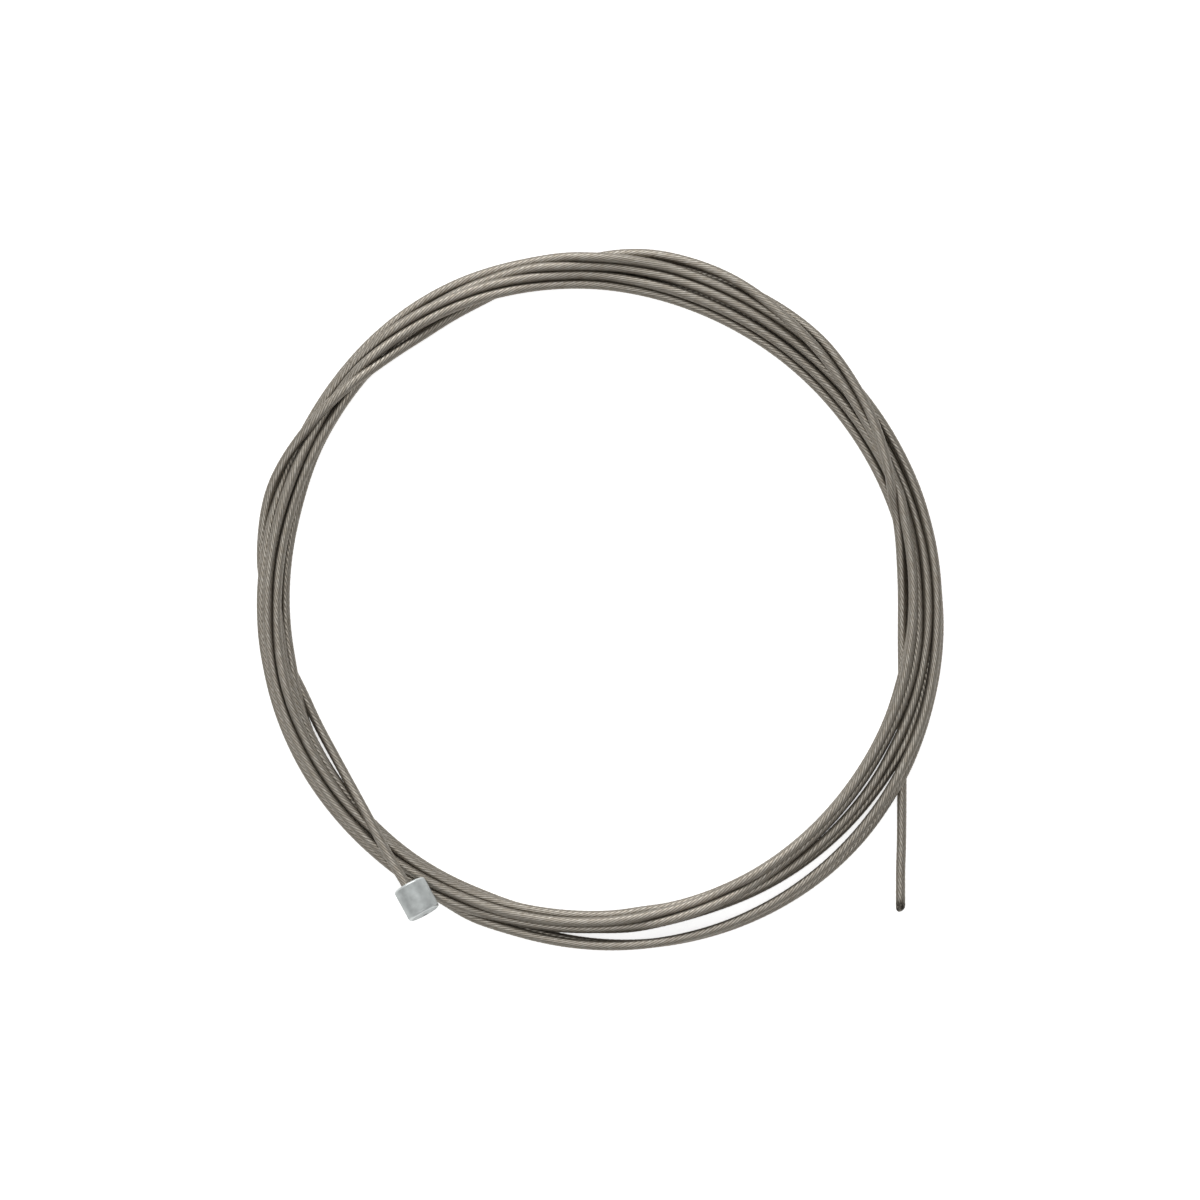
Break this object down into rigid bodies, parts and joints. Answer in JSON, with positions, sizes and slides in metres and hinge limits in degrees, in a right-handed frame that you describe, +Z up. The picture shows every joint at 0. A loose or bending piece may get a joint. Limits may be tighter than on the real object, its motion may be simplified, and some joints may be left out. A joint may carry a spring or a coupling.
{
  "type": "shift inner cable",
  "caption": "Coiled stiff inner wire for a bicycle gear shifter, with a small cast barrel head on one end and a fused free end.",
  "frame": {"origin": "middle of the coil, on the table that it lies on", "axes": "+Z up, square to the coil's plane; +Y away from the free end, which points along -Y; +X towards the free end's side of the coil"},
  "size_m": [0.0878, 0.0895, 0.0078],
  "materials": {
    "drawn_stainless_wire": "drawn stainless wires stranded together, satin",
    "die_cast_zinc": "tumbled zinc casting, dull silver",
    "fused_wire": "wire ends melted together, heat darkened"
  },
  "bodies": {
    "root": {"strand_coil": "drawn_stainless_wire", "strand_lead": "drawn_stainless_wire", "strand_tail": "drawn_stainless_wire", "cable_head": "die_cast_zinc", "fused_tip": "fused_wire"}
  },
  "joints": []
}
